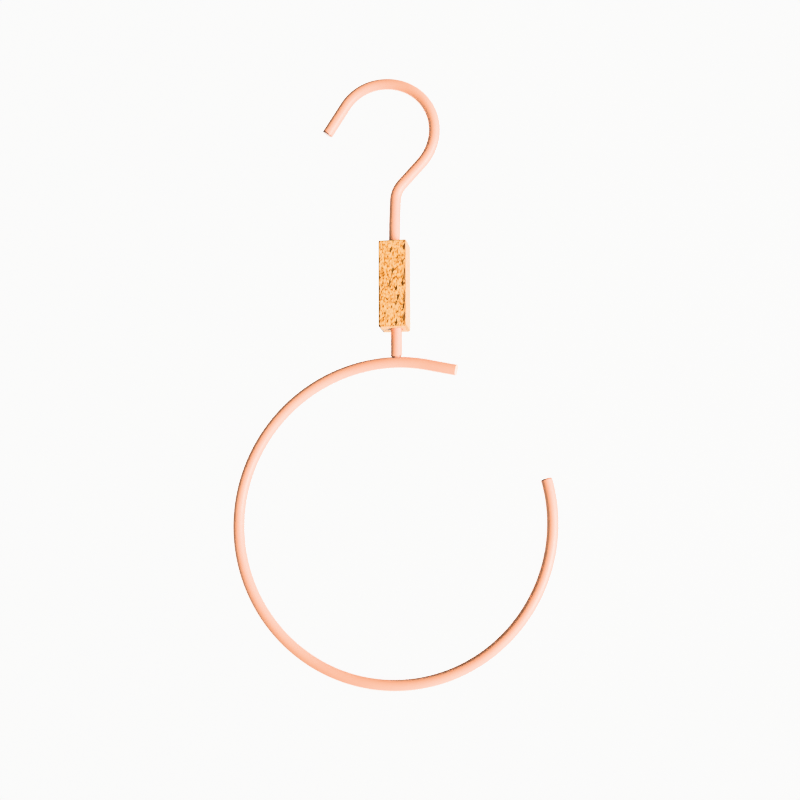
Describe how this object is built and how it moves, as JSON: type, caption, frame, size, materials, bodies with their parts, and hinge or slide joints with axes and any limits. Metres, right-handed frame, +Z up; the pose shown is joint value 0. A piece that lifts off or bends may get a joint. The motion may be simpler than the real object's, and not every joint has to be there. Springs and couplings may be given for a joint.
{
  "type": "open ring scarf hanger",
  "caption": "Open wire ring on a short stem under a square beech block, with a turning question-mark hook above; holds scarves, ties or belts on a wardrobe rail.",
  "frame": {"origin": "the rail seat: the inner top of the hook's bow, in the middle of the wire's plane, where a rail carries the hanger", "axes": "+Z up through the hook, +X to the right seen from the front, with the ring's gap at the upper right; the hanger's plane is XZ and its front faces -Y"},
  "size_m": [0.1591, 0.0138, 0.3064],
  "materials": {
    "powder_coat": "satin salmon-pink powder coat over steel wire",
    "beech": "sanded, oiled beech with short dark flecks",
    "brass": "machined",
    "zinc_steel": "zinc plated",
    "spring_steel": "phosphated spring steel"
  },
  "bodies": {
    "hook": {"hook_wire": "powder_coat", "thrust_washer": "zinc_steel", "retaining_clip": "spring_steel"},
    "hanger": {"wood_block": "beech", "swivel_bush": "brass", "threaded_insert": "brass", "lower_stem": "powder_coat", "ring_wire": "powder_coat"}
  },
  "joints": [
    {"name": "hook_swivel", "type": "hinge", "parent": "hook", "child": "hanger", "pos_m": [0.00529, 0, -0.08176], "axis": [0, 0, 1], "continuous": true}
  ]
}
